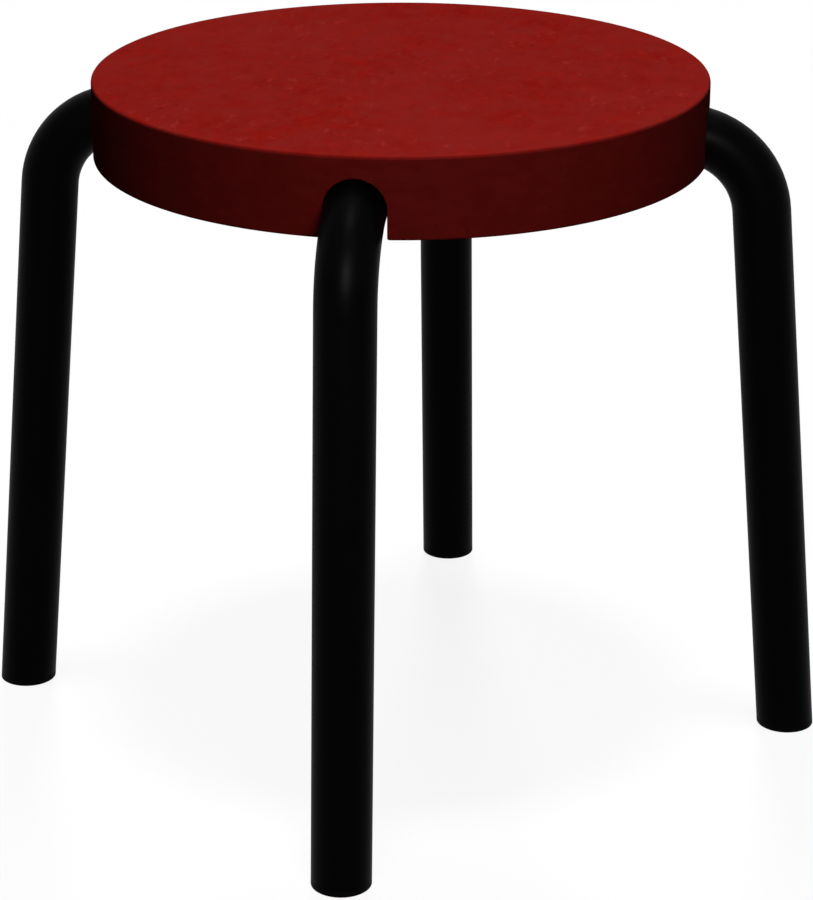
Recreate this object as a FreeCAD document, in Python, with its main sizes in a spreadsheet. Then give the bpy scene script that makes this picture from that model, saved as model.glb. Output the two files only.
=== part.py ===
import FreeCAD, Part
import os
import Sketcher

# A low stool: a thick round board seat on four bent steel tube legs. Millimetres, +Z up, with the
# origin on the floor under the middle of the seat.
#
# Each leg lies in a channel that a ball-nosed cutter mills into the underside of the board. The
# tube leaves the channel through the rim, where its bend has already begun, and runs down to the
# floor with a little splay. Two screws from below clamp it to threaded inserts in the board.
#
# Everything that belongs to one leg is drawn in the plane of that leg, with X outward from the
# middle of the seat, and then turned about Z to its own side.

# Driving dimensions: name, value, meaning
DIMENSIONS = [
    ("seat_diameter", 400.0, "across the round seat board"),
    ("seat_height", 447.0, "floor to the top of the seat"),
    ("seat_thickness", 51.5, "thickness of the board"),
    ("top_round", 2.0, "rounding of the seat's upper rim"),
    ("under_chamfer", 1.2, "chamfer of the edges on the underside"),
    ("roof_thickness", 14.0, "board left between a channel and the seat's top"),
    ("channel_clearance", 0.5, "gap between tube and channel, on the radius"),
    ("tube_diameter", 38.0, "outside of the leg tube"),
    ("tube_wall", 2.0, "wall of the leg tube"),
    ("leg_splay", 4.7, "lean of the straight leg, in degrees"),
    ("bend_radius", 54.0, "centreline radius of the bend"),
    ("bend_inset", 18.0, "how far inside the rim the bend begins"),
    ("stub_end", 70.0, "inner end of the tube, out from the seat's middle"),
    ("screw_end_margin", 20.0, "inner end of the tube to the inner screw"),
    ("screw_bend_margin", 22.0, "outer screw to the start of the bend"),
    ("screw_diameter", 6.0, "thread of the leg screws"),
    ("screw_bite", 10.5, "leg screw beyond the tube's crown, in its insert"),
    ("screw_clearance", 0.25, "gap round a screw in its holes, on the radius"),
    ("head_diameter", 10.5, "button head of a leg screw"),
    ("head_height", 3.3, "button head of a leg screw"),
    ("head_rim", 1.3, "straight rim of the button head"),
    ("head_land", 6.5, "across the flat end of the button head"),
    ("socket_width", 4.0, "across the flats of the hexagon socket"),
    ("socket_depth", 2.0, "depth of the hexagon socket"),
    ("washer_diameter", 16.0, "saddle washer under a tube"),
    ("washer_thickness", 1.5, "saddle washer, where it is thinnest"),
    ("insert_diameter", 10.0, "outside of a threaded insert"),
    ("insert_length", 10.0, "threaded insert, end to end"),
    ("bore_gap", 0.7, "board bored deeper than the screw's tip"),
    ("thread_clearance", 0.05, "gap between the screw and its thread, on the radius"),
    ("plug_clearance", 0.15, "gap between a plug's ribs and the tube, on the radius"),
    ("plug_rib", 1.3, "height of a plug's ribs"),
    ("plug_wall", 2.2, "wall of a plug's sleeve"),
    ("plug_pitch", 5.0, "from one rib of a plug to the next"),
    ("plug_slope", 3.5, "length of a rib's slope"),
    ("cap_rim", 2.0, "straight rim of the cap on the stub"),
    ("cap_chamfer", 2.0, "chamfer round the cap's end"),
    ("sole_thickness", 4.0, "sole of the foot glide"),
]
CAP_RIBS = 1
GLIDE_RIBS = 2
EDGE_SAMPLES = 7
NEAR = 1e-4
# Sides of the seat that the legs point to, turned about Z from +X
SIDES = {"front": -90.0, "right": 0.0, "back": 90.0, "left": 180.0}

# Sizes worked out from the driving dimensions
seat_radius = "(Sizes.seat_diameter / 2)"
underside = "(Sizes.seat_height - Sizes.seat_thickness)"
tube_radius = "(Sizes.tube_diameter / 2)"
bore_radius = "(Sizes.tube_diameter / 2 - Sizes.tube_wall)"
channel_radius = f"({tube_radius} + Sizes.channel_clearance)"
stub_height = f"(Sizes.seat_height - Sizes.roof_thickness - {channel_radius})"
tube_crown = f"({stub_height} + {tube_radius})"
tube_belly = f"({stub_height} - {tube_radius})"
bend_start = f"({seat_radius} - Sizes.bend_inset)"
bend_end = f"({bend_start} + Sizes.bend_radius * cos(Sizes.leg_splay))"
bend_end_height = f"({stub_height} - Sizes.bend_radius * (1 - sin(Sizes.leg_splay)))"
foot_reach = f"({bend_end} + {bend_end_height} * tan(Sizes.leg_splay))"
screw_reach = "(Sizes.stub_end + Sizes.screw_end_margin)"
screw_pitch = f"({bend_start} - Sizes.screw_bend_margin - {screw_reach})"
screw_radius = "(Sizes.screw_diameter / 2)"
screw_length = "(Sizes.washer_thickness + Sizes.tube_diameter + Sizes.screw_bite)"
head_seat = f"({tube_belly} - Sizes.washer_thickness)"
channel_end = "(Sizes.stub_end - Sizes.cap_rim)"
rib_radius = f"({bore_radius} - Sizes.plug_clearance)"
sleeve_radius = f"({rib_radius} - Sizes.plug_rib)"

doc = FreeCAD.newDocument("Stool")
sheet = doc.addObject("Spreadsheet::Sheet", "Sizes")
for row, (alias, value, meaning) in enumerate(DIMENSIONS, 1):
    sheet.set(f"A{row}", meaning)
    sheet.set(f"B{row}", str(value))
    sheet.setAlias(f"B{row}", alias)
doc.recompute()
bodies = []


def number(formula):
    """The present value of a formula, for a sketch's first guess."""
    return float(sheet.evalExpression(formula))


def new_body(name, turn=0.0):
    """A sub-part of its own, turned about the seat's middle."""
    body = doc.addObject("PartDesign::Body", name)
    body.Label = name
    body.Placement = FreeCAD.Placement(
        FreeCAD.Vector(0, 0, 0), FreeCAD.Rotation(FreeCAD.Vector(0, 0, 1), turn)
    )
    bodies.append(body)
    return body


def origin_part(body, role):
    """A plane or axis of the body's own origin."""
    return next(part for part in body.Origin.OriginFeatures if part.Role == role)


def new_sketch(body, name, plane, shift=None, turn=None):
    """A sketch on an origin plane, shifted along its own x, y or z and turned about its normal."""
    sketch = body.newObject("Sketcher::SketchObject", name)
    sketch.AttachmentSupport = [(origin_part(body, plane), "")]
    sketch.MapMode = "FlatFace"
    for axis, formula in (shift or {}).items():
        sketch.setExpression(f"AttachmentOffset.Base.{axis}", formula)
    if turn:
        sketch.setExpression("AttachmentOffset.Rotation.Angle", turn)
    return sketch


def fix_point(sketch, geometry, end, x, y):
    """Binds one end of a line or arc, or a centre, to the formulas of its coordinates."""
    for kind, formula in (("DistanceX", x), ("DistanceY", y)):
        index = sketch.addConstraint(
            Sketcher.Constraint(kind, -1, 1, geometry, end, number(formula))
        )
        sketch.setExpression(f"Constraints[{index}]", formula)


def circle(sketch, radius, x="0", y="0"):
    """A circle bound to its radius and centre."""
    centre = FreeCAD.Vector(number(x), number(y), 0)
    shape = Part.Circle(centre, FreeCAD.Vector(0, 0, 1), number(radius))
    geometry = sketch.addGeometry(shape, False)
    fix_point(sketch, geometry, 3, x, y)
    index = sketch.addConstraint(Sketcher.Constraint("Radius", geometry, number(radius)))
    sketch.setExpression(f"Constraints[{index}]", radius)


def arc_between(start, finish, radius, leftward):
    """The short arc from start to finish, which bends to the left or the right of its chord."""
    chord = finish - start
    half = chord.Length / 2
    across = FreeCAD.Vector(-chord.y, chord.x, 0).normalize()
    reach = max(radius**2 - half**2, 0.0) ** 0.5
    side = 1 if leftward else -1
    centre = start + chord * 0.5 + across * (side * reach)
    middle = centre + (start + chord * 0.5 - centre).normalize() * radius
    return Part.Arc(start, middle, finish)


def outline(sketch, corners, closed=True):
    """Lines through the corners (x, y); a corner (x, y, "left" or "right", radius) starts an arc."""
    points = [FreeCAD.Vector(number(corner[0]), number(corner[1]), 0) for corner in corners]
    ends = []
    for index in range(len(corners) if closed else len(corners) - 1):
        corner = corners[index]
        start = points[index]
        finish = points[(index + 1) % len(points)]
        if len(corner) == 2:
            geometry = sketch.addGeometry(Part.LineSegment(start, finish), False)
            ends.append((geometry, 1, 2))
            continue
        leftward = corner[2] == "left"
        geometry = sketch.addGeometry(
            arc_between(start, finish, number(corner[3]), leftward), False
        )
        index_of_radius = sketch.addConstraint(
            Sketcher.Constraint("Radius", geometry, number(corner[3]))
        )
        sketch.setExpression(f"Constraints[{index_of_radius}]", corner[3])
        ends.append((geometry, 1, 2) if leftward else (geometry, 2, 1))
    for index, (geometry, first, last) in enumerate(ends):
        fix_point(sketch, geometry, first, *corners[index][:2])
        if index + 1 < len(ends) or closed:
            after = ends[(index + 1) % len(ends)]
            sketch.addConstraint(
                Sketcher.Constraint("Coincident", geometry, last, after[0], after[1])
            )
        else:
            fix_point(sketch, geometry, last, *corners[index + 1][:2])


def pad(body, name, sketch, length):
    """Extrudes a sketch along its normal."""
    feature = body.newObject("PartDesign::Pad", name)
    feature.Profile = sketch
    feature.setExpression("Length", length)
    return feature


def pocket(body, name, sketch, length=None, upward=False, both_ways=False):
    """Cuts a sketch into the body, down from its plane unless told otherwise."""
    feature = body.newObject("PartDesign::Pocket", name)
    feature.Profile = sketch
    feature.Reversed = upward
    if length:
        feature.setExpression("Length", length)
    else:
        feature.Type = "ThroughAll"
    if both_ways:
        feature.SideType = "Symmetric"
    return feature


def spin(body, name, sketch, axis="V_Axis", kind="Revolution", degrees=360.0):
    """Turns a sketch about its own axis, to add it or to cut it away, evenly to both sides."""
    feature = body.newObject(f"PartDesign::{kind}", name)
    feature.Profile = sketch
    feature.ReferenceAxis = (sketch, [axis])
    feature.Angle = degrees
    feature.Midplane = degrees < 360.0
    return feature


def along_stub(body, name, originals):
    """Repeats features at the second screw of the leg."""
    pattern = body.newObject("PartDesign::LinearPattern", name)
    pattern.Originals = originals
    pattern.Direction = (origin_part(body, "X_Axis"), [""])
    pattern.setExpression("Length", screw_pitch)
    pattern.Occurrences = 2
    body.Tip = pattern


def edges_where(shape, test):
    """Names of the edges of which every sampled point passes the test."""
    names = []
    for index, edge in enumerate(shape.Edges, 1):
        if not edge.Degenerated and all(map(test, edge.discretize(EDGE_SAMPLES))):
            names.append(f"Edge{index}")
    return names


def ease_edges(body, kind, measure, size, test):
    """Rounds or chamfers the chosen edges of what the body holds so far."""
    doc.recompute()
    base = body.Tip
    feature = body.newObject(f"PartDesign::{kind}", f"{body.Label}_{kind.lower()}")
    feature.Base = (base, edges_where(base.Shape, test))
    feature.setExpression(measure, size)


def sleeve_outline(length, ribs):
    """Corners of a plug's sleeve from its root up, with saw-tooth ribs that slope to the tip."""
    corners = []
    for rib in range(ribs):
        foot = f"({length} - Sizes.plug_pitch * {ribs - rib})"
        corners.append((sleeve_radius, foot))
        corners.append((rib_radius, foot))
        corners.append((sleeve_radius, f"({foot} + Sizes.plug_slope)"))
    corners.append((sleeve_radius, length))
    corners.append((f"({sleeve_radius} - Sizes.plug_wall)", length))
    return corners


def build_seat():
    """The board, with a ball-nosed channel for each leg and blind bores for its inserts."""
    body = new_body("seat")
    disc = new_sketch(body, "seat_disc", "XY_Plane", {"z": underside})
    circle(disc, seat_radius)
    pad(body, "seat_board", disc, "Sizes.seat_thickness")
    beyond_rim = f"({seat_radius} + {channel_radius})"

    nose = new_sketch(body, "channel_nose", "XZ_Plane", {"y": stub_height})
    nose_tip = f"({channel_end} - {channel_radius})"
    outline(
        nose,
        [
            (nose_tip, "0", "right", channel_radius),
            (channel_end, channel_radius),
            (beyond_rim, channel_radius),
            (beyond_rim, "0"),
        ],
    )
    roof = spin(body, "channel_roof", nose, "H_Axis", "Groove", 180.0)

    slot = new_sketch(body, "channel_slot", "XY_Plane", {"z": stub_height})
    outline(
        slot,
        [
            (channel_end, f"-{channel_radius}"),
            (beyond_rim, f"-{channel_radius}"),
            (beyond_rim, channel_radius),
            (channel_end, channel_radius, "left", channel_radius),
            (nose_tip, "0", "left", channel_radius),
        ],
    )
    walls = pocket(body, "channel_walls", slot)

    insert_bores = new_sketch(body, "insert_bores", "XY_Plane", {"z": stub_height})
    for reach in (screw_reach, f"({screw_reach} + {screw_pitch})"):
        circle(insert_bores, "(Sizes.insert_diameter / 2)", reach)
    bore_depth = f"({tube_radius} + Sizes.screw_bite + Sizes.bore_gap)"
    bores = pocket(body, "bores", insert_bores, bore_depth, upward=True)

    pattern = body.newObject("PartDesign::PolarPattern", "four_channels")
    pattern.Originals = [roof, walls, bores]
    pattern.Axis = (origin_part(body, "Z_Axis"), [""])
    pattern.Angle = 360.0
    pattern.Occurrences = 4
    body.Tip = pattern

    top = number("Sizes.seat_height")
    bottom = number(underside)
    ease_edges(body, "Fillet", "Radius", "Sizes.top_round", lambda p: abs(p.z - top) < NEAR)
    ease_edges(body, "Chamfer", "Size", "Sizes.under_chamfer", lambda p: abs(p.z - bottom) < NEAR)


def build_leg(side, turn):
    """One tube: a level stub under the seat, a bend that starts inside the rim, a splayed leg."""
    body = new_body(f"leg_{side}", turn)
    path = new_sketch(body, "centreline", "XZ_Plane")
    below_floor = f"-{tube_radius}"
    outline(
        path,
        [
            ("Sizes.stub_end", stub_height),
            (bend_start, stub_height, "right", "Sizes.bend_radius"),
            (bend_end, bend_end_height),
            (f"({foot_reach} + {tube_radius} * tan(Sizes.leg_splay))", below_floor),
        ],
        closed=False,
    )
    ring = new_sketch(body, "section", "YZ_Plane", {"z": "Sizes.stub_end"})
    circle(ring, tube_radius, "0", stub_height)
    circle(ring, bore_radius, "0", stub_height)
    tube = body.newObject("PartDesign::AdditivePipe", "tube")
    tube.Profile = ring
    tube.Spine = (path, ["Edge1", "Edge2", "Edge3"])

    foot = new_sketch(body, "foot_cut", "XY_Plane", {"z": "Sizes.sole_thickness"})
    circle(foot, "Sizes.tube_diameter", foot_reach)
    pocket(body, "level_foot", foot)

    holes = new_sketch(body, "screw_holes", "XY_Plane", {"z": stub_height})
    for reach in (screw_reach, f"({screw_reach} + {screw_pitch})"):
        circle(holes, f"({screw_radius} + Sizes.screw_clearance)", reach)
    pocket(body, "drilled_holes", holes, both_ways=True)


def build_stub_cap(side, turn):
    """Closes the tube's inner end: a chamfered head on a ribbed sleeve."""
    body = new_body(f"stub_cap_{side}", turn)
    half = new_sketch(
        body, "half_section", "XZ_Plane", {"x": "Sizes.stub_end", "y": stub_height}, "90"
    )
    # The sketch is turned so that its y runs inward, and negative y lies inside the tube
    sleeve_length = f"(Sizes.plug_pitch * {CAP_RIBS + 1})"
    head = "(Sizes.cap_rim + Sizes.cap_chamfer)"
    sleeve_bore = f"({sleeve_radius} - Sizes.plug_wall)"
    ribs = [(x, f"-{y}") for x, y in sleeve_outline(sleeve_length, CAP_RIBS)]
    outline(
        half,
        [("0", head), (f"({tube_radius} - Sizes.cap_chamfer)", head)]
        + [(tube_radius, "Sizes.cap_rim"), (tube_radius, "0"), (sleeve_radius, "0")]
        + ribs
        + [(sleeve_bore, "0"), ("0", "0")],
    )
    spin(body, "cap", half)


def build_foot_glide(side, turn):
    """The plastic foot: a sole as wide as the tube, level with the floor, on a ribbed sleeve."""
    body = new_body(f"foot_glide_{side}", turn)
    at_foot = {"x": foot_reach}
    half_sole = f"({tube_radius} * tan(Sizes.leg_splay))"
    sole_top = "(Sizes.sole_thickness / cos(Sizes.leg_splay))"

    blank = new_sketch(body, "sole_blank", "XZ_Plane", at_foot, "Sizes.leg_splay")
    outline(
        blank,
        [
            ("0", f"(-{half_sole})"),
            (tube_radius, f"(-{half_sole})"),
            (tube_radius, f"({sole_top} + {half_sole})"),
            ("0", f"({sole_top} + {half_sole})"),
        ],
    )
    spin(body, "sole", blank)
    wide = "Sizes.tube_diameter"
    slope = f"({wide} * tan(Sizes.leg_splay))"
    ends = new_sketch(body, "level_planes", "XZ_Plane", at_foot, "Sizes.leg_splay")
    outline(
        ends,
        [
            (f"(-{wide})", slope),
            (f"(-{wide})", f"(-{wide})"),
            (wide, f"(-{wide})"),
            (wide, f"(-{slope})"),
        ],
    )
    outline(
        ends,
        [
            (f"(-{wide})", f"({sole_top} + {slope})"),
            (wide, f"({sole_top} - {slope})"),
            (wide, wide),
            (f"(-{wide})", wide),
        ],
    )
    pocket(body, "level_sole", ends, both_ways=True)

    half = new_sketch(body, "sleeve_section", "XZ_Plane", at_foot, "Sizes.leg_splay")
    sleeve_length = f"({sole_top} + {half_sole} + Sizes.plug_pitch * {GLIDE_RIBS})"
    root = f"({sole_top} / 2)"
    sleeve_bore = f"({sleeve_radius} - Sizes.plug_wall)"
    ribs = sleeve_outline(sleeve_length, GLIDE_RIBS)
    outline(half, [(sleeve_bore, root), (sleeve_radius, root)] + ribs)
    spin(body, "sleeve", half)


def build_screws(side, turn):
    """Two button-headed screws, their heads below the tube."""
    body = new_body(f"screws_{side}", turn)
    half = new_sketch(body, "half_section", "XZ_Plane", {"x": screw_reach, "y": head_seat})
    head_radius = "(Sizes.head_diameter / 2)"
    outline(
        half,
        [
            ("0", "(-Sizes.head_height)"),
            ("(Sizes.head_land / 2)", "(-Sizes.head_height)"),
            (head_radius, "(-Sizes.head_rim)"),
            (head_radius, "0"),
            (screw_radius, "0"),
            (screw_radius, screw_length),
            ("0", screw_length),
        ],
    )
    screw = spin(body, "screw", half)
    socket = new_sketch(
        body,
        "hexagon",
        "XY_Plane",
        {"x": screw_reach, "z": f"({head_seat} - Sizes.head_height)"},
    )
    corner = "(Sizes.socket_width / sqrt(3))"
    outline(
        socket,
        [
            (f"({corner} * cos({60 * turn_of}))", f"({corner} * sin({60 * turn_of}))")
            for turn_of in range(6)
        ],
    )
    recess = pocket(body, "socket", socket, "Sizes.socket_depth", upward=True)
    along_stub(body, "two_screws", [screw, recess])


def build_saddle_washers(side, turn):
    """Two washers, hollowed to the round of the tube that they press on."""
    body = new_body(f"saddle_washers_{side}", turn)
    ring = new_sketch(body, "ring", "XY_Plane", {"x": screw_reach, "z": head_seat})
    circle(ring, "(Sizes.washer_diameter / 2)")
    circle(ring, f"({screw_radius} + Sizes.screw_clearance)")
    washer = pad(body, "washer", ring, f"(Sizes.washer_thickness + {tube_radius} / 2)")
    along_stub(body, "two_washers", [washer])
    saddle = new_sketch(body, "saddle", "YZ_Plane")
    circle(saddle, tube_radius, "0", stub_height)
    pocket(body, "hollow", saddle, both_ways=True)


def build_threaded_inserts(side, turn):
    """Two inserts, whose ends stand proud of the channel and meet the tube."""
    body = new_body(f"threaded_inserts_{side}", turn)
    half = new_sketch(body, "half_section", "XZ_Plane", {"x": screw_reach, "y": tube_crown})
    thread = f"({screw_radius} + Sizes.thread_clearance)"
    outside = "(Sizes.insert_diameter / 2)"
    outline(
        half,
        [
            (thread, "0"),
            (outside, "0"),
            (outside, "Sizes.insert_length"),
            (thread, "Sizes.insert_length"),
        ],
    )
    insert = spin(body, "insert", half)
    along_stub(body, "two_inserts", [insert])


build_seat()
for side, turn in SIDES.items():
    build_leg(side, turn)
    build_stub_cap(side, turn)
    build_foot_glide(side, turn)
    build_screws(side, turn)
    build_saddle_washers(side, turn)
    build_threaded_inserts(side, turn)
doc.recompute()

# Nothing is written until every feature has computed, every cut has cut and every shape is sound
for item in doc.Objects:
    if "Invalid" in item.State or "Error" in item.State:
        raise RuntimeError(f"{item.Label} did not compute: {item.State}")
    if item.TypeId in ("PartDesign::Pocket", "PartDesign::Groove"):
        if item.Shape.Volume > item.BaseFeature.Shape.Volume - 1e-3:
            raise RuntimeError(f"{item.Label} cuts nothing")
for body in bodies:
    if body.Shape.isNull() or not body.Shape.isValid():
        raise RuntimeError(f"{body.Label} is not a sound shape")
os.makedirs("parts", exist_ok=True)
for body in bodies:
    body.Shape.exportStep(os.path.join("parts", f"{body.Label}.step"))
    print(body.Label, len(body.Shape.Solids), "solids", round(body.Shape.Volume, 1), "mm3")
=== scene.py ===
import math

import bmesh
import bpy
from mathutils import Matrix, Vector


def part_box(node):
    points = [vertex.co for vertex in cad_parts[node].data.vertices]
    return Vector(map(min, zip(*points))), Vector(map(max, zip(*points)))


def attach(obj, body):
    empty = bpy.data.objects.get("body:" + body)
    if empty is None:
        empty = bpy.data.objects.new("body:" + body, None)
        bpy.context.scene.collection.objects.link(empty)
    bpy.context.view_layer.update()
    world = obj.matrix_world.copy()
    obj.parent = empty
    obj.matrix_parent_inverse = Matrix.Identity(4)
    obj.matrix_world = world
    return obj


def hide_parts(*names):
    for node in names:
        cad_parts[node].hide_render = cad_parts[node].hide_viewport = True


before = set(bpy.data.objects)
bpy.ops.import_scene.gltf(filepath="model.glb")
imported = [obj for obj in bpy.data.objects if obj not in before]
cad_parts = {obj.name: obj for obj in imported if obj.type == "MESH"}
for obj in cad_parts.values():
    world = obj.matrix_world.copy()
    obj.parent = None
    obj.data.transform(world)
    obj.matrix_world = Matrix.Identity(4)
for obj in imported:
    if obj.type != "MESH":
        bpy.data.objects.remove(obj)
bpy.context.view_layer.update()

# A low round stool: a thick red board seat on four bent black tube legs. Metres, +Z up, with the
# origin on the floor under the middle of the seat. What belongs to one leg is built in the plane
# of that leg, with X outward, and then turned about Z to its side.

SIDES = {"front": -90, "right": 0, "back": 90, "left": 180}
MM = 0.001

# Sizes read from the frame
seat_low, seat_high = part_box("seat")
leg_low, leg_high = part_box("leg_right")
SEAT_RADIUS = seat_high.x
SEAT_TOP = seat_high.z
UNDERSIDE = seat_low.z
TUBE_RADIUS = leg_high.y
STUB_END = leg_low.x
STUB_HEIGHT = leg_high.z - TUBE_RADIUS
SOLE_TOP = leg_low.z
SCREW_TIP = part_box("screws_right")[1].z

# Sizes of the board and the tubes that no box of the frame tells
TOP_ROUND = 2 * MM
UNDER_ROUND = 1.5 * MM
MOUTH_ROUND = 0.6 * MM
CHANNEL_CLEARANCE = 0.5 * MM
TUBE_WALL = 2 * MM
CAP_RIM = 2 * MM
LEG_SPLAY = math.radians(4.7)
BEND_RADIUS = 54 * MM
BEND_INSET = 18 * MM
CHANNEL_RADIUS = TUBE_RADIUS + CHANNEL_CLEARANCE
NOSE_CENTRE = STUB_END - CAP_RIM
TUBE_BORE = TUBE_RADIUS - TUBE_WALL
BEND_START = SEAT_RADIUS - BEND_INSET
BEND_END = BEND_START + BEND_RADIUS * math.cos(LEG_SPLAY)
BEND_END_HEIGHT = STUB_HEIGHT - BEND_RADIUS * (1 - math.sin(LEG_SPLAY))
FOOT_REACH = BEND_END + BEND_END_HEIGHT * math.tan(LEG_SPLAY)

# Sizes of the fastenings; the depth of the inserts' bores counts from the tube's crown
SCREW_REACHES = (90 * MM, 160 * MM)
SCREW_RADIUS = 3 * MM
INSERT_RADIUS = 5 * MM
BORE_DEPTH = 11.2 * MM
WASHER_RADIUS = 8 * MM
WASHER_THICKNESS = 1.5 * MM
BORE_TOP = STUB_HEIGHT + TUBE_RADIUS + BORE_DEPTH
HEAD_SEAT = STUB_HEIGHT - TUBE_RADIUS - WASHER_THICKNESS

# Sizes of the plastic plugs' ribbed sleeves
PLUG_CLEARANCE = 0.15 * MM
PLUG_RIB = 1.3 * MM
PLUG_WALL = 2.2 * MM
PLUG_PITCH = 5 * MM
PLUG_SLOPE = 3.5 * MM
TIP_BEVEL = 0.4 * MM
RIB_EASE = 0.1 * MM
RIB_RADIUS = TUBE_BORE - PLUG_CLEARANCE
SLEEVE_RADIUS = RIB_RADIUS - PLUG_RIB
SLEEVE_BORE = SLEEVE_RADIUS - PLUG_WALL

# Steps round curves
ARCH_STEPS = 32
NOSE_STEPS = 14
ROUND_STEPS = 4
RIM_STEPS = 56
LATHE_STEPS = 64
CAP_EDGE_STEPS = 6
DOME_STEPS = 8
SCREW_STEPS = 48
WASHER_STEPS = 56

# Faces that meet at less than this are shaded smooth, and points closer than this are joined
SMOOTH_BELOW = math.radians(35)
JOIN_BELOW = 0.001 * MM


def steps(count):
    """0 to 1 in count equal steps."""
    return [index / count for index in range(count + 1)]


def finish_mesh(name, bm, turn=0.0):
    """Turns the built form to its side and makes a smooth mesh of it with sharp creases."""
    bmesh.ops.recalc_face_normals(bm, faces=bm.faces)
    mesh = bpy.data.meshes.new(name)
    bm.to_mesh(mesh)
    bm.free()
    mesh.transform(Matrix.Rotation(math.radians(turn), 4, "Z"))
    mesh.shade_smooth()
    mesh.set_sharp_from_angle(angle=SMOOTH_BELOW)
    return mesh


def add_piece(name, mesh, material, slot, *nodes):
    """Puts a mesh in the scene in place of CAD nodes."""
    piece = bpy.data.objects.new(name, mesh)
    bpy.context.scene.collection.objects.link(piece)
    mesh.materials.append(material)
    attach(piece, "root")
    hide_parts(*nodes)
    return piece


def even_shading(piece):
    """Keeps flats flat beside narrow roundings."""
    shading = piece.modifiers.new("even_shading", "WEIGHTED_NORMAL")
    shading.keep_sharp = True
    shading.weight = 100


def lathe(bm, profile, place, segments=LATHE_STEPS, closed=False):
    """Spins (radius, height) points; place(radius, angle, height) says where each goes."""
    rings = []
    for radius, height in profile:
        if radius == 0:
            rings.append([bm.verts.new(place(0, 0, height))])
            continue
        angles = [math.tau * index / segments for index in range(segments)]
        rings.append([bm.verts.new(place(radius, angle, height)) for angle in angles])
    pairs = list(zip(rings, rings[1:]))
    if closed:
        pairs.append((rings[-1], rings[0]))
    for first, second in pairs:
        join_rings(bm, first, second)
    return rings


def join_rings(bm, first, second):
    """Faces between two closed rings, of which one may be a single point."""
    count = max(len(first), len(second))
    for index in range(count):
        after = (index + 1) % count
        corners = [first[index % len(first)], first[after % len(first)]]
        corners += [second[after % len(second)], second[index % len(second)]]
        bm.faces.new(list(dict.fromkeys(corners)))


def round_corner(x, y, radius, start, count=ROUND_STEPS):
    """Points of a quarter arc about (x, y), from the angle start on, in degrees, anticlockwise."""
    points = []
    for share in steps(count):
        angle = math.radians(start + 90 * share)
        points.append((x + radius * math.cos(angle), y + radius * math.sin(angle)))
    return points


# The seat board


def mouth_corner(inset):
    """The rounding in plan from a channel's wall (y > 0) to the rim, as (x, y) points."""
    outer = SEAT_RADIUS - inset - MOUTH_ROUND
    y = CHANNEL_RADIUS + inset + MOUTH_ROUND
    x = math.sqrt(outer**2 - y**2)
    turn = math.pi / 2 + math.atan2(y, x)
    points = []
    for share in steps(ROUND_STEPS):
        angle = turn * share - math.pi / 2
        points.append((x + MOUTH_ROUND * math.cos(angle), y + MOUTH_ROUND * math.sin(angle)))
    return points


def plan_row(bm, inset, height):
    """One level row of the board's outline with its channels: per side, the near corner, the
    nose, the far corner and the rim on to the next channel."""
    row = []
    for turn in range(0, 360, 90):
        spin = Matrix.Rotation(math.radians(turn), 3, "Z")

        def put(x, y):
            return bm.verts.new(spin @ Vector((x, y, height)))

        corner = mouth_corner(inset)
        half = CHANNEL_RADIUS + inset
        near = [put(x, -y) for x, y in reversed(corner)]
        nose = []
        for share in steps(ARCH_STEPS):
            angle = math.pi * (share - 0.5)
            nose.append(put(NOSE_CENTRE - half * math.cos(angle), half * math.sin(angle)))
        far = [put(x, y) for x, y in corner]
        start = math.atan2(corner[-1][1], corner[-1][0])
        rim = []
        for share in steps(RIM_STEPS)[1:-1]:
            angle = start + (math.pi / 2 - 2 * start) * share
            outer = SEAT_RADIUS - inset
            rim.append(put(outer * math.cos(angle), outer * math.sin(angle)))
        row.append({"near": near, "nose": nose, "far": far, "rim": rim})
    return row


def in_order(row):
    """The vertices of a plan row, once round."""
    return [v for side in row for part in ("near", "nose", "far", "rim") for v in side[part]]


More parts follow.
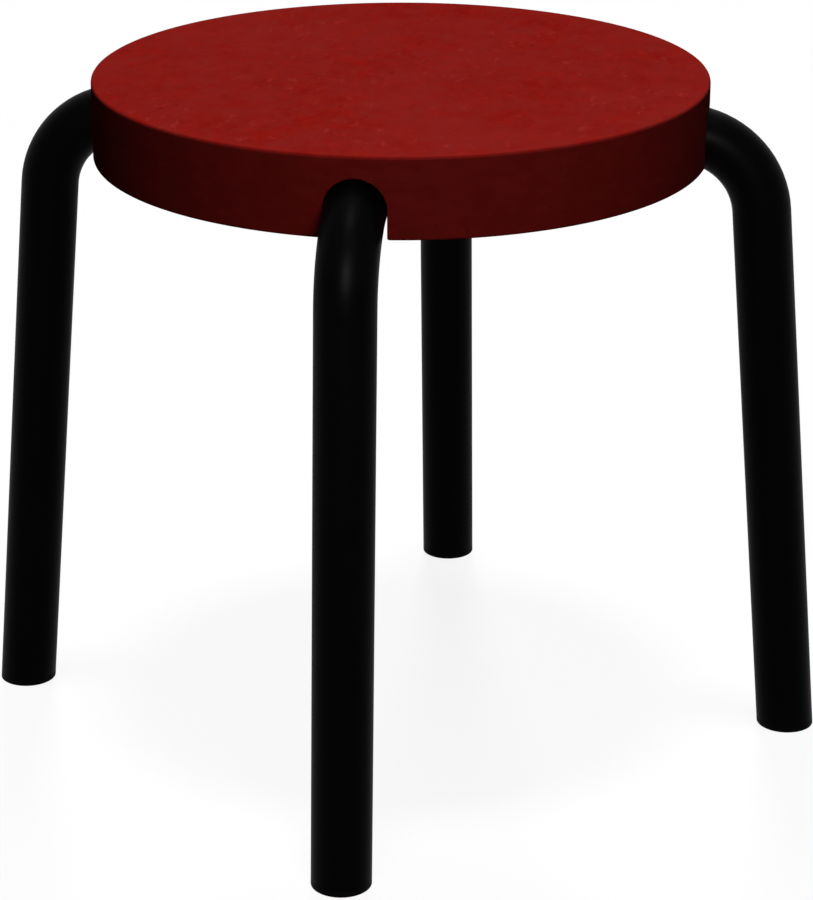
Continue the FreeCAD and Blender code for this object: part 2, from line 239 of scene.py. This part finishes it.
def add_channel(bm, side, turn):
    """The channel's mouth, roof and ball nose above the row at the tube's middle. Gives the
    mouth's outer edge."""
    spin = Matrix.Rotation(math.radians(turn), 3, "Z")
    mouth = [list(reversed(side["near"]))]
    arch = [side["nose"][0]]
    for share in steps(ARCH_STEPS)[1:-1]:
        angle = math.pi * (share - 0.5)
        outward = Vector((0, math.sin(angle), math.cos(angle)))
        middle = outward * (CHANNEL_RADIUS + MOUTH_ROUND)
        middle.x = math.sqrt((SEAT_RADIUS - MOUTH_ROUND) ** 2 - middle.y**2)
        to_rim = Vector((middle.x, middle.y, 0)).normalized()
        middle.z += STUB_HEIGHT
        ways = [(-outward).slerp(to_rim, part) for part in steps(ROUND_STEPS)]
        mouth.append([bm.verts.new(spin @ (middle + MOUTH_ROUND * way)) for way in ways])
        inner = Vector((NOSE_CENTRE, 0, STUB_HEIGHT)) + outward * CHANNEL_RADIUS
        arch.append(bm.verts.new(spin @ inner))
    mouth.append(side["far"])
    arch.append(side["nose"][-1])

    nose = [arch]
    for share in steps(NOSE_STEPS)[1:-1]:
        lean = share * math.pi / 2
        row = [arch[0]]
        for part in steps(ARCH_STEPS)[1:-1]:
            angle = math.pi * (part - 0.5)
            reach = CHANNEL_RADIUS * math.cos(angle)
            point = Vector((NOSE_CENTRE - reach * math.sin(lean), 0, STUB_HEIGHT))
            point += Vector((0, CHANNEL_RADIUS * math.sin(angle), reach * math.cos(lean)))
            row.append(bm.verts.new(spin @ point))
        nose.append(row + [arch[-1]])
    nose.append(side["nose"])

    for index in range(ARCH_STEPS):
        for inner, outer in zip(range(ROUND_STEPS), range(1, ROUND_STEPS + 1)):
            first, second = mouth[index], mouth[index + 1]
            bm.faces.new((first[inner], first[outer], second[outer], second[inner]))
        bm.faces.new((mouth[index][0], mouth[index + 1][0], arch[index + 1], arch[index]))
        for upper, lower in zip(nose, nose[1:]):
            corners = (upper[index], upper[index + 1], lower[index + 1], lower[index])
            bm.faces.new(list(dict.fromkeys(corners)))
    return [loop[-1] for loop in mouth]


def build_board(material):
    """The round board with rounded rims and four ball-nosed channels, and bores for the inserts."""
    bm = bmesh.new()
    rows = []
    for share in steps(ROUND_STEPS):
        angle = share * math.pi / 2
        inset = UNDER_ROUND * (1 - math.sin(angle))
        rows.append(plan_row(bm, inset, UNDERSIDE + UNDER_ROUND * (1 - math.cos(angle))))
    rows.append(plan_row(bm, 0, STUB_HEIGHT))
    bm.faces.new(in_order(rows[0]))
    for lower, upper in zip(rows, rows[1:]):
        join_rings(bm, in_order(lower), in_order(upper))

    wall = []
    for side, turn in zip(rows[-1], range(0, 360, 90)):
        wall += add_channel(bm, side, turn) + side["rim"]
    rim = [math.atan2(v.co.y, v.co.x) for v in wall]
    below = wall
    for x, z in round_corner(SEAT_RADIUS - TOP_ROUND, SEAT_TOP - TOP_ROUND, TOP_ROUND, 0):
        ring = [bm.verts.new((x * math.cos(angle), x * math.sin(angle), z)) for angle in rim]
        join_rings(bm, below, ring)
        below = ring
    bm.faces.new(below)
    board = add_piece("seat_board", finish_mesh("seat_board", bm), material, "seat_board", "seat")
    bore_board(board)
    even_shading(board)


def bore_board(board):
    """Cuts the blind bores of the inserts."""
    bm = bmesh.new()
    for turn in SIDES.values():
        spin = Matrix.Rotation(math.radians(turn), 3, "Z")
        for reach in SCREW_REACHES:

            def place(radius, angle, height):
                off_edge = angle + math.pi / LATHE_STEPS
                x = reach + radius * math.cos(off_edge)
                return spin @ Vector((x, radius * math.sin(off_edge), height))

            ends = ((0, STUB_HEIGHT), (INSERT_RADIUS, STUB_HEIGHT), (INSERT_RADIUS, BORE_TOP))
            lathe(bm, ends + ((0, BORE_TOP),), place)
    cutter = bpy.data.objects.new("bores", finish_mesh("bores", bm))
    bpy.context.scene.collection.objects.link(cutter)
    cut = board.modifiers.new("bores", "BOOLEAN")
    cut.object = cutter
    cut.solver = "EXACT"
    bpy.context.view_layer.update()
    bored = board.evaluated_get(bpy.context.evaluated_depsgraph_get())
    mesh = bpy.data.meshes.new_from_object(bored)
    board.modifiers.remove(cut)
    bm = bmesh.new()
    bm.from_mesh(mesh)
    bmesh.ops.remove_doubles(bm, verts=bm.verts, dist=JOIN_BELOW)
    bm.to_mesh(mesh)
    bm.free()
    board.data = mesh
    bpy.data.objects.remove(cutter)
    mesh.shade_smooth()
    mesh.set_sharp_from_angle(angle=SMOOTH_BELOW)


# What belongs to each leg


def on_stub(radius, angle, height):
    """A point about the tube's level stub, height running inward from its end."""
    y = radius * math.sin(angle)
    return Vector((STUB_END - height, y, STUB_HEIGHT + radius * math.cos(angle)))


def build_cap(side, turn, material):
    """The plug in the stub's inner end: a head with rounded edges and a dimple, and a sleeve."""
    head = 4 * MM
    edge = 1.6 * MM
    ease = 0.3 * MM
    dimple = 5 * MM
    depth = 0.8 * MM
    hollow_bevel = 1 * MM
    rib = -PLUG_PITCH
    tip = -2 * PLUG_PITCH
    profile = [(SLEEVE_BORE, tip), (SLEEVE_RADIUS - TIP_BEVEL, tip)]
    profile += [(SLEEVE_RADIUS, tip + TIP_BEVEL), (SLEEVE_RADIUS, rib - PLUG_SLOPE)]
    profile += [(RIB_RADIUS - 2 * RIB_EASE, rib - 2 * RIB_EASE), (RIB_RADIUS, rib)]
    profile += [(RIB_RADIUS - RIB_EASE, rib + RIB_EASE), (SLEEVE_RADIUS, rib + RIB_EASE)]
    profile += [(SLEEVE_RADIUS, 0), (TUBE_RADIUS - ease, 0), (TUBE_RADIUS, ease)]
    profile += round_corner(TUBE_RADIUS - edge, head - edge, edge, 0, CAP_EDGE_STEPS)
    profile += [(dimple + depth, head), (dimple, head - ease)]
    profile += [(dimple - depth, head - depth), (0, head - depth)]
    hollow = [(SLEEVE_BORE, tip), (SLEEVE_BORE, -hollow_bevel)]
    hollow += [(SLEEVE_BORE - hollow_bevel, 0), (0, 0)]
    bm = bmesh.new()
    lathe(bm, profile, on_stub)
    lathe(bm, hollow, on_stub)
    bmesh.ops.remove_doubles(bm, verts=bm.verts, dist=JOIN_BELOW)
    name = f"cap_{side}"
    add_piece(name, finish_mesh(name, bm, turn), material, "black_plastic", f"stub_cap_{side}")


def about_leg(radius, angle, height):
    """A point about the splayed leg's axis, height running up along it from the floor."""
    out = radius * math.cos(angle)
    x = FOOT_REACH + out * math.cos(LEG_SPLAY) - height * math.sin(LEG_SPLAY)
    z = out * math.sin(LEG_SPLAY) + height * math.cos(LEG_SPLAY)
    return Vector((x, radius * math.sin(angle), z))


def level(radius, angle, height):
    """The point of the leg's round, at this radius and angle, that lies at a level height."""
    along = (height - radius * math.cos(angle) * math.sin(LEG_SPLAY)) / math.cos(LEG_SPLAY)
    return about_leg(radius, angle, along)


def build_glide(side, turn, material):
    """The plastic foot: a level sole with a rounded edge and a hollow, on a ribbed sleeve."""
    edge = 0.7 * MM
    ease = 0.25 * MM
    hollow = 12.5 * MM
    depth = 0.8 * MM
    bore_floor = 2.6 * MM
    ribs = 2
    first_rib = 5.6 * MM
    tip = first_rib + ribs * PLUG_PITCH
    # The hollow's wall: steps out from the hollow, and heights above the floor
    wall = [(0, depth), (0.5 * MM, depth - 0.3 * MM), (0.8 * MM, 0.1 * MM), (1.2 * MM, 0)]
    sole = [(0, depth)] + [(hollow + step, height) for step, height in wall]
    sole += round_corner(TUBE_RADIUS - edge, edge, edge, -90)
    sole += [(TUBE_RADIUS, SOLE_TOP - ease), (TUBE_RADIUS - ease, SOLE_TOP)]
    sole += [(SLEEVE_RADIUS, SOLE_TOP)]
    plug = []
    for index in range(ribs):
        foot = first_rib + index * PLUG_PITCH
        plug += [(SLEEVE_RADIUS, foot), (RIB_RADIUS - RIB_EASE, foot)]
        plug += [(RIB_RADIUS, foot + RIB_EASE), (RIB_RADIUS - RIB_EASE, foot + 4 * RIB_EASE)]
        plug += [(SLEEVE_RADIUS, foot + PLUG_SLOPE)]
    plug += [(SLEEVE_RADIUS, tip - TIP_BEVEL), (SLEEVE_RADIUS - TIP_BEVEL, tip)]
    plug += [(SLEEVE_BORE, tip), (SLEEVE_BORE, bore_floor), (0, bore_floor)]
    bm = bmesh.new()
    outside = lathe(bm, sole, level)
    inside = lathe(bm, plug, about_leg)
    join_rings(bm, outside[-1], inside[0])
    name = f"glide_{side}"
    add_piece(name, finish_mesh(name, bm, turn), material, "black_plastic", f"foot_glide_{side}")


def hexagon_reach(angle, flats):
    """How far a hexagon reaches at an angle, given its width across the flats."""
    off = (angle + math.pi / 6) % (math.pi / 3) - math.pi / 6
    return flats / 2 / math.cos(math.pi / 6 - abs(off))


def build_screws(side, turn, material):
    """Two button-headed screws with hexagon sockets, from below."""
    head_radius = 5.25 * MM
    head_height = 3.3 * MM
    land = 3 * MM
    edge = 0.15 * MM
    rim_foot = -0.35 * MM
    dome_foot = -0.5 * MM
    neck = 0.2 * MM
    point = 0.8 * MM
    tip = SCREW_TIP - HEAD_SEAT
    outside = []
    for share in steps(DOME_STEPS):
        angle = math.radians(90 * share)
        radius = land + (head_radius - edge - land) * math.sin(angle)
        outside.append((radius, dome_foot - (head_height + dome_foot) * math.cos(angle)))
    outside += [(head_radius, rim_foot), (head_radius, -edge), (head_radius - edge, 0)]
    outside += [(SCREW_RADIUS + neck, 0), (SCREW_RADIUS, neck), (SCREW_RADIUS, tip - point)]
    outside += [(SCREW_RADIUS - point, tip), (0, tip)]
    flats = 4 * MM
    socket_floor = 2 * MM - head_height
    lip = [(1.12, -head_height), (1, -head_height + 0.2 * MM)]
    pit = [(1, socket_floor), (0.5, socket_floor + 0.35 * MM), (0, socket_floor + 0.6 * MM)]
    bm = bmesh.new()
    for reach in SCREW_REACHES:

        def place(radius, angle, height):
            x = reach + radius * math.cos(angle)
            return Vector((x, radius * math.sin(angle), HEAD_SEAT + height))

        def hexagon(scale, angle, height):
            """A point of the socket, its size a multiple of the hexagon's."""
            return place(hexagon_reach(angle, flats * scale), angle, height)

        body = lathe(bm, outside, place, SCREW_STEPS)
        mouth = lathe(bm, lip, hexagon, SCREW_STEPS)
        floor = lathe(bm, pit, hexagon, SCREW_STEPS)
        join_rings(bm, body[0], mouth[0])
        join_rings(bm, mouth[1], floor[0])
    name = f"leg_screws_{side}"
    add_piece(name, finish_mesh(name, bm, turn), material, "zinc_steel", f"screws_{side}")


def build_washers(side, turn, material):
    """Two washers, hollowed to the round of the tube that they press on."""
    hole = SCREW_RADIUS + 0.25 * MM
    outer = WASHER_RADIUS
    edge = 0.3 * MM
    ease = 0.3 * edge
    rounding = [(edge, 0), (ease, ease), (0, edge)]
    profile = [(hole + edge, ("flat", 0))]
    profile += [(outer - inset, ("flat", step)) for inset, step in rounding]
    profile += [(outer - inset, ("tube", step)) for inset, step in reversed(rounding)]
    profile += [(hole + inset, ("tube", step)) for inset, step in rounding]
    profile += [(hole + inset, ("flat", step)) for inset, step in reversed(rounding[1:])]
    bm = bmesh.new()
    for reach in SCREW_REACHES:

        def place(radius, angle, height):
            """A point of a washer; height is one of its two faces and a step in from there."""
            face, step = height
            x = reach + radius * math.cos(angle)
            y = radius * math.sin(angle)
            rise = STUB_HEIGHT - math.sqrt(TUBE_RADIUS**2 - y**2) - HEAD_SEAT
            return Vector((x, y, HEAD_SEAT + (step if face == "flat" else rise - step)))

        lathe(bm, profile, place, WASHER_STEPS, closed=True)
    name = f"washers_{side}"
    mesh = finish_mesh(name, bm, turn)
    add_piece(name, mesh, material, "zinc_steel", f"saddle_washers_{side}")


# Materials


def srgb(*levels):
    """A colour as a picture shows it, 0 to 255, in the light-linear values that shaders take."""
    linear = []
    for shown in levels:
        value = shown / 255
        linear.append(value / 12.92 if value <= 0.04045 else ((value + 0.055) / 1.055) ** 2.4)
    return (*linear, 1)


def grey(level):
    """A grey in light-linear values."""
    return (level, level, level, 1)


class Shader:
    """A material with a Principled shader and short ways to build its pattern."""

    def __init__(self, name, **sockets):
        self.material = bpy.data.materials.new(name)
        self.material.use_nodes = True
        self.tree = self.material.node_tree
        self.shader = self.tree.nodes["Principled BSDF"]
        for socket, value in sockets.items():
            self.shader.inputs[socket.replace("_", " ")].default_value = value
        self.place = self.add("ShaderNodeTexCoord").outputs["Object"]

    def add(self, kind, inputs=(), **settings):
        """A node, its settings and its inputs, which are values or other nodes' outputs."""
        node = self.tree.nodes.new(kind)
        for name, value in settings.items():
            setattr(node, name, value)
        for name, value in dict(inputs).items():
            if isinstance(value, bpy.types.NodeSocket):
                self.tree.links.new(value, node.inputs[name])
            else:
                node.inputs[name].default_value = value
        return node

    def noise(self, size, detail, roughness, stretch=(1, 1, 1), offset=(0, 0, 0)):
        """Cloudy noise with patches of about this size, in metres, in octaves of detail."""
        placing = {"Vector": self.place, "Scale": stretch, "Location": offset}
        where = self.add("ShaderNodeMapping", placing).outputs[0]
        inputs = {"Vector": where, "Scale": 1 / size, "Detail": detail, "Roughness": roughness}
        return self.add("ShaderNodeTexNoise", inputs).outputs[0]

    def spread(self, value, low, high, to_low=0.0, to_high=1.0):
        """Stretches a part of a value's range over another range."""
        inputs = {0: value, 1: low, 2: high, 3: to_low, 4: to_high}
        return self.add("ShaderNodeMapRange", inputs).outputs[0]

    def mix(self, share, first, second):
        """A blend of two colours."""
        inputs = {0: share, 6: first, 7: second}
        return self.add("ShaderNodeMix", inputs, data_type="RGBA").outputs[2]

    def sum(self, *values):
        """Adds values up."""
        total = values[0]
        for value in values[1:]:
            total = self.add("ShaderNodeMath", {0: total, 1: value}, operation="ADD").outputs[0]
        return total

    def times(self, value, factor):
        """A value times another."""
        inputs = {0: value, 1: factor}
        return self.add("ShaderNodeMath", inputs, operation="MULTIPLY").outputs[0]

    def level_share(self):
        """1 on level faces and 0 on upright ones."""
        normal = self.add("ShaderNodeNewGeometry").outputs["Normal"]
        upward = self.add("ShaderNodeSeparateXYZ", {0: normal}).outputs[2]
        return self.add("ShaderNodeMath", {0: upward}, operation="ABSOLUTE").outputs[0]

    def set(self, socket, value):
        """Drives one of the shader's sockets."""
        self.tree.links.new(value, self.shader.inputs[socket])

    def bump(self, height, distance):
        """Relief of this height, in metres."""
        inputs = {"Height": height, "Distance": distance}
        self.set("Normal", self.add("ShaderNodeBump", inputs).outputs[0])


# How the board's patterns are scaled along X, Y and Z: a small share draws them out that way
BOARD_GRAIN = (1, 0.6, 1)
FLECK_GRAIN = (1, 0.45, 1)


def board_material():
    """Dense fibreboard dyed red right through, matt: clouds, flecks, fibres, pressed layers, and a
    painted sheen on the upright edge.
    """
    look = Shader("dyed_board", Roughness=0.8, Specular_IOR_Level=0.0, Sheen_Weight=0.005)
    level_share = look.level_share()
    clouds = look.noise(11 * MM, 4, 0.65, stretch=BOARD_GRAIN)
    colour = look.mix(look.spread(clouds, 0.32, 0.68), srgb(127, 15, 10), srgb(142, 22, 15))
    colour = board_patches(look, colour)
    colour = board_painted_edge_sheen_and_layers(look, colour, look.spread(level_share, 0, 0.6, 1, 0))
    colour = board_flecks(look, colour, look.spread(level_share, 0, 0.6, 0.1, 0.8))
    look.set("Base Color", colour)
    look.set("Roughness", look.spread(clouds, 0.3, 0.7, 0.74, 0.86))
    fibres = look.noise(0.5 * MM, 3, 0.6)
    look.bump(look.sum(look.times(fibres, 0.6), look.times(clouds, 0.4)), 0.012 * MM)
    return look.material


def board_patches(look, colour):
    """Broad paler areas and smaller duller patches."""
    broad = look.noise(75 * MM, 3, 0.7, stretch=BOARD_GRAIN, offset=(1.2, 6.3, 2.9))
    patches = look.noise(14 * MM, 4, 0.75, stretch=BOARD_GRAIN, offset=(3.1, 1.7, 0.4))
    colour = look.mix(look.spread(broad, 0.35, 0.65, 0, 0.6), colour, srgb(135, 31, 27))
    return look.mix(look.spread(patches, 0.4, 0.66, 0, 0.75), colour, srgb(128, 32, 28))


def board_painted_edge_sheen_and_layers(look, colour, on_edge):
    """The cut edge, paler and less red than the top, partly for its duller fibre and partly as
    painted sheen, with the pressed layers that show there.
    """
    layers = look.noise(20 * MM, 4, 0.7, stretch=(1, 1, 2.5))
    # Painted sheen: upright faces go half way to a paler, less red colour. This stands for neutral
    # light on the side as well as for the cut edge's duller tone.
    colour = look.mix(look.times(on_edge, 0.5), colour, srgb(136, 37, 33))
    share = look.times(look.spread(layers, 0.38, 0.62), look.times(on_edge, 0.8))
    return look.mix(share, colour, srgb(123, 26, 23))


def board_flecks(look, colour, light_share):
    """Light and dark flecks in loose clusters, the light ones mostly on the level faces."""
    light = look.noise(8 * MM, 4, 0.65, stretch=FLECK_GRAIN, offset=(0.3, 2.2, 5.0))
    dark = look.noise(5.5 * MM, 4, 0.65, stretch=FLECK_GRAIN, offset=(7.3, 4.2, 1.0))
    clusters = look.noise(45 * MM, 3, 0.6, offset=(5.1, 0.7, 3.3))
    clusters = look.spread(clusters, 0.42, 0.6, 0.15, 1)
    light = look.times(look.times(look.spread(light, 0.58, 0.7), clusters), light_share)
    colour = look.mix(light, colour, srgb(148, 40, 35))
    dark = look.times(look.spread(dark, 0.6, 0.72), look.times(clusters, 0.7))
    return look.mix(dark, colour, srgb(108, 16, 11))


def coat_material():
    """Black satin powder coat, with its fine orange peel."""
    look = Shader("powder_coat_black", Roughness=0.42, Specular_IOR_Level=0.015)
    patches = look.noise(30 * MM, 2, 0.5)
    peel = look.noise(1.3 * MM, 2, 0.45)
    dust = look.spread(look.noise(0.6 * MM, 1, 0.5, offset=(2, 5, 1)), 0.68, 0.78)
    colour = look.mix(look.spread(patches, 0.3, 0.7), grey(0.0003), grey(0.0006))
    look.set("Base Color", look.mix(look.times(dust, 0.4), colour, grey(0.002)))
    look.set("Roughness", look.spread(patches, 0.3, 0.7, 0.39, 0.45))
    look.bump(peel, 0.03 * MM)
    return look.material


def plastic_material():
    """Moulded black plastic with a fine eroded grain, rubbed a little smoother in patches."""
    look = Shader("moulded_black", Roughness=0.55, Specular_IOR_Level=0.015)
    grain = look.noise(0.35 * MM, 2, 0.6)
    rubbed = look.noise(6 * MM, 3, 0.6)
    deep = (0.0035, 0.0035, 0.0038, 1)
    colour = look.mix(look.spread(rubbed, 0.35, 0.65), deep, grey(0.006))
    look.set("Base Color", colour)
    look.set("Roughness", look.spread(rubbed, 0.35, 0.65, 0.48, 0.62))
    look.bump(grain, 0.03 * MM)
    return look.material


def zinc_material():
    """Zinc plate: bluish grey with faint warm patches and a fine burnish."""
    look = Shader("zinc_plate", Roughness=0.32, Metallic=1.0)
    patches = look.noise(3 * MM, 3, 0.6)
    burnish = look.noise(0.4 * MM, 2, 0.5, stretch=(1, 1, 5))
    bluish, warm = (0.56, 0.58, 0.61, 1), (0.66, 0.65, 0.62, 1)
    colour = look.mix(look.spread(patches, 0.35, 0.65), bluish, warm)
    look.set("Base Color", colour)
    look.set("Roughness", look.spread(burnish, 0.3, 0.7, 0.24, 0.4))
    look.bump(burnish, 0.01 * MM)
    return look.material


def brass_material():
    """Turned brass with fine rings of the tool and a little tarnish."""
    look = Shader("turned_brass", Roughness=0.3, Metallic=1.0)
    tarnish = look.noise(2 * MM, 3, 0.6)
    rings = look.noise(0.3 * MM, 1, 0.5, stretch=(0.2, 0.2, 3))
    bright, dull = (0.72, 0.53, 0.25, 1), (0.56, 0.38, 0.17, 1)
    colour = look.mix(look.spread(tarnish, 0.35, 0.7), bright, dull)
    look.set("Base Color", colour)
    look.set("Roughness", look.spread(tarnish, 0.3, 0.7, 0.25, 0.42))
    look.bump(rings, 0.01 * MM)
    return look.material


# The studio

CAMERA_PLACE = (0.27347, -1.96340, 0.95506)
CAMERA_AIM = (0, 0, 0.22347)
CAMERA_LENS = 125.76
CAMERA_SHIFT = (0.0065, -0.0596)
CAMERA_TURN = math.degrees(math.atan2(CAMERA_PLACE[0], -CAMERA_PLACE[1]))

# The world's light on the stool, the depth of the floor's shadows, the share of light that the
# floor throws back, and half the floor's width in metres
WORLD_FILL = 0.008
SHADOW_DEPTH = 0.12
FLOOR_BOUNCE = 0.008
FLOOR_HALF = 6.0

# Each sun: its name, its turn from the camera's side and its height in degrees, its strength,
# and its width in degrees. Each softbox: the same, but its strength in watts, and then its
# distance and its width in metres
SUNS = (("key", 10, 87, 1.6, 9), ("back_key", 180, 38, 2.28, 14))
SOFTBOXES = (("front", 8, 14, 1.53, 1.0, 0.3), ("front_gloss", 0, 25, 48.0, 2.0, 0.25))
LAMP_AIM = Vector((0, 0, SEAT_TOP))
SUN_DISTANCE = 2.0


def seen_directly(tree):
    """1 for rays of the camera and for mirrored and refracted ones, 0 for diffuse light."""
    path = tree.nodes.new("ShaderNodeLightPath")
    seen = path.outputs["Is Camera Ray"]
    for name in ("Is Glossy Ray", "Is Transmission Ray"):
        either = tree.nodes.new("ShaderNodeMath")
        either.operation = "MAXIMUM"
        tree.links.new(seen, either.inputs[0])
        tree.links.new(path.outputs[name], either.inputs[1])
        seen = either.outputs[0]
    return seen


def build_world():
    """White where it is seen, and a dim even fill elsewhere."""
    world = bpy.data.worlds.new("studio")
    world.use_nodes = True
    tree = world.node_tree
    white = tree.nodes["Background"]
    white.inputs["Color"].default_value = (1, 1, 1, 1)
    white.inputs["Strength"].default_value = 1
    fill = tree.nodes.new("ShaderNodeBackground")
    fill.inputs["Color"].default_value = (1, 1, 1, 1)
    fill.inputs["Strength"].default_value = WORLD_FILL
    blend = tree.nodes.new("ShaderNodeMixShader")
    tree.links.new(seen_directly(tree), blend.inputs[0])
    tree.links.new(fill.outputs[0], blend.inputs[1])
    tree.links.new(white.outputs[0], blend.inputs[2])
    tree.links.new(blend.outputs[0], tree.nodes["World Output"].inputs["Surface"])
    bpy.context.scene.world = world


def build_floor():
    """A plain white floor that keeps the stool's soft shadow and throws little light back."""
    half = FLOOR_HALF
    mesh = bpy.data.meshes.new("floor")
    corners = [(-half, -half, 0), (half, -half, 0), (half, half, 0), (-half, half, 0)]
    mesh.from_pydata(corners, [], [(0, 1, 2, 3)])
    floor = bpy.data.objects.new("floor", mesh)
    bpy.context.scene.collection.objects.link(floor)
    material = bpy.data.materials.new("studio_floor")
    material.use_nodes = True
    tree = material.node_tree
    tree.nodes.remove(tree.nodes["Principled BSDF"])

    def add(kind, color=None, strength=None):
        node = tree.nodes.new(kind)
        if color is not None:
            node.inputs["Color"].default_value = (color, color, color, 1)
        if strength is not None:
            node.inputs["Strength"].default_value = strength
        return node

    glow = add("ShaderNodeEmission", 1, 1 - SHADOW_DEPTH)
    lit = add("ShaderNodeBsdfDiffuse", SHADOW_DEPTH)
    dark = add("ShaderNodeBsdfDiffuse", FLOOR_BOUNCE)
    pale = add("ShaderNodeAddShader")
    blend = add("ShaderNodeMixShader")
    tree.links.new(glow.outputs[0], pale.inputs[0])
    tree.links.new(lit.outputs[0], pale.inputs[1])
    tree.links.new(seen_directly(tree), blend.inputs[0])
    tree.links.new(dark.outputs[0], blend.inputs[1])
    tree.links.new(pale.outputs[0], blend.inputs[2])
    tree.links.new(blend.outputs[0], tree.nodes["Material Output"].inputs["Surface"])
    mesh.materials.append(material)


def add_lamp(lamp, turn, height, distance):
    """Hangs a lamp so that it shines at the middle of the seat's top."""
    holder = bpy.data.objects.new(lamp.name, lamp)
    azimuth = math.radians(CAMERA_TURN + turn)
    rise = math.radians(height)
    away = Vector((math.sin(azimuth), -math.cos(azimuth), math.tan(rise))).normalized()
    holder.rotation_euler = away.to_track_quat("Z", "Y").to_euler()
    holder.location = LAMP_AIM + away * distance
    holder.visible_camera = False
    bpy.context.scene.collection.objects.link(holder)
    return holder


def build_lamps():
    """A soft lamp overhead, one behind, and two softboxes in front: one that lights without
    gloss, and one that only glosses the tubes."""
    for name, turn, height, strength, width in SUNS:
        lamp = bpy.data.lights.new(name, "SUN")
        lamp.energy = strength
        lamp.angle = math.radians(width)
        add_lamp(lamp, turn, height, SUN_DISTANCE)
    for name, turn, height, strength, distance, width in SOFTBOXES:
        lamp = bpy.data.lights.new(name, "AREA")
        lamp.energy = strength
        lamp.shape = "DISK"
        lamp.size = width
        holder = add_lamp(lamp, turn, height, distance)
        gloss_only = name == "front_gloss"
        holder.visible_diffuse = not gloss_only
        holder.visible_glossy = gloss_only


def build_camera():
    """The camera at the photograph's place."""
    data = bpy.data.cameras.new("camera")
    data.lens = CAMERA_LENS
    data.shift_x, data.shift_y = CAMERA_SHIFT
    camera = bpy.data.objects.new("camera", data)
    camera.location = CAMERA_PLACE
    aim = Vector(CAMERA_AIM) - camera.location
    camera.rotation_euler = aim.to_track_quat("-Z", "Y").to_euler()
    bpy.context.scene.collection.objects.link(camera)
    bpy.context.scene.camera = camera


def dress(name, material):
    """Gives a CAD node that stays its material."""
    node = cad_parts[name]
    node.data.materials.clear()
    node.data.materials.append(material)


build_board(board_material())
coat = coat_material()
plastic = plastic_material()
zinc = zinc_material()
brass = brass_material()
for side_name, side_turn in SIDES.items():
    build_cap(side_name, side_turn, plastic)
    build_glide(side_name, side_turn, plastic)
    build_screws(side_name, side_turn, zinc)
    build_washers(side_name, side_turn, zinc)
    dress(f"leg_{side_name}", coat)
    dress(f"threaded_inserts_{side_name}", brass)
build_world()
build_floor()
build_lamps()
build_camera()
bpy.context.scene.view_settings.view_transform = "Standard"
